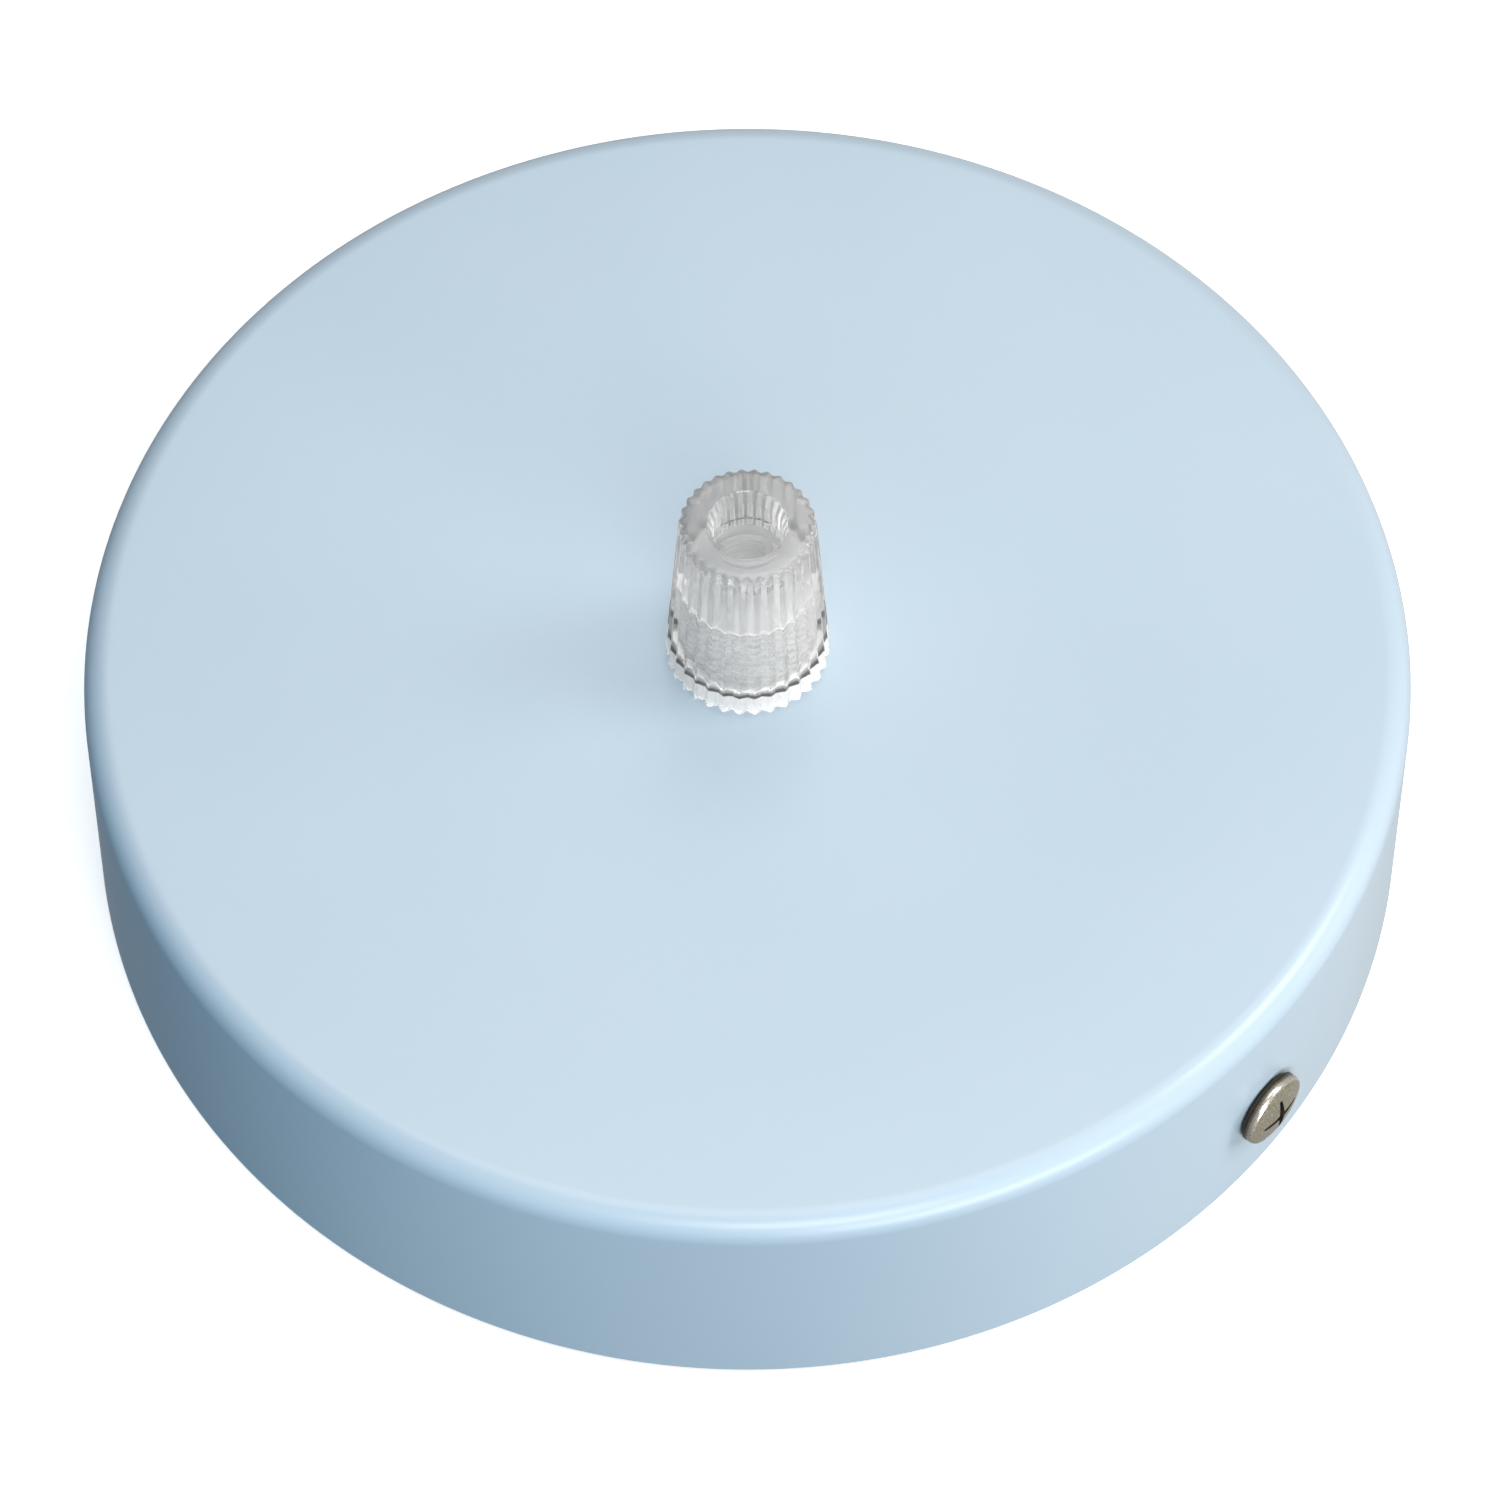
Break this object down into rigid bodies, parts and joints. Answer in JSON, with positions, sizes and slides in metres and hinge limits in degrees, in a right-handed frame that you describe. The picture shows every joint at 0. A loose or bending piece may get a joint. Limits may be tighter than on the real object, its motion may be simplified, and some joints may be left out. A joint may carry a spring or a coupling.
{
  "type": "electrical ceiling rose",
  "caption": "Round steel ceiling rose for a pendant lamp: a shallow cup with a clear ribbed cord gland on its face, side screws, and an inner bracket with terminals and an earth screw.",
  "frame": {"origin": "centre of the cup's rim plane, where the ceiling lies when the rose is fitted", "axes": "+Z away from the ceiling, out through the cord gland; +X along the bracket, towards the earth screw's end"},
  "size_m": [0.124, 0.12, 0.0455],
  "materials": {
    "blue_paint": "satin",
    "clear_plastic": "polished",
    "zinc_steel": "satin",
    "antique_brass": "satin",
    "terminal_brass": "satin",
    "white_plastic": "matte"
  },
  "bodies": {
    "base": {"cover": "blue_paint", "gland_stem": "clear_plastic", "gland_washer": "zinc_steel", "gland_nut": "zinc_steel", "bracket": "zinc_steel", "earth_clamp_washer": "zinc_steel", "earth_lock_washer": "zinc_steel", "earth_screw": "terminal_brass", "terminal_housing": "white_plastic", "terminal_clamp_front": "terminal_brass", "terminal_clamp_middle": "terminal_brass", "terminal_clamp_back": "terminal_brass", "terminal_screw_front_outer": "zinc_steel", "terminal_screw_front_inner": "zinc_steel", "terminal_screw_middle_outer": "zinc_steel", "terminal_screw_middle_inner": "zinc_steel", "terminal_screw_back_outer": "zinc_steel", "terminal_screw_back_inner": "zinc_steel", "terminal_fixing_screw": "zinc_steel"},
    "cap": {"gland_cap": "clear_plastic"},
    "right_screw": {"side_screw_right": "antique_brass"},
    "left_screw": {"side_screw_left": "antique_brass"}
  },
  "joints": [
    {"name": "cap_turn", "type": "hinge", "parent": "base", "child": "cap", "pos_m": [0, 0, 0.03], "axis": [0, 0, 1], "range_deg": [0, 900]},
    {"name": "right_screw_turn", "type": "hinge", "parent": "base", "child": "right_screw", "pos_m": [0.06, 0, 0.01], "axis": [1, 0, 0], "range_deg": [0, 900]},
    {"name": "left_screw_turn", "type": "hinge", "parent": "base", "child": "left_screw", "pos_m": [-0.06, 0, 0.01], "axis": [-1, 0, 0], "range_deg": [0, 900]}
  ]
}
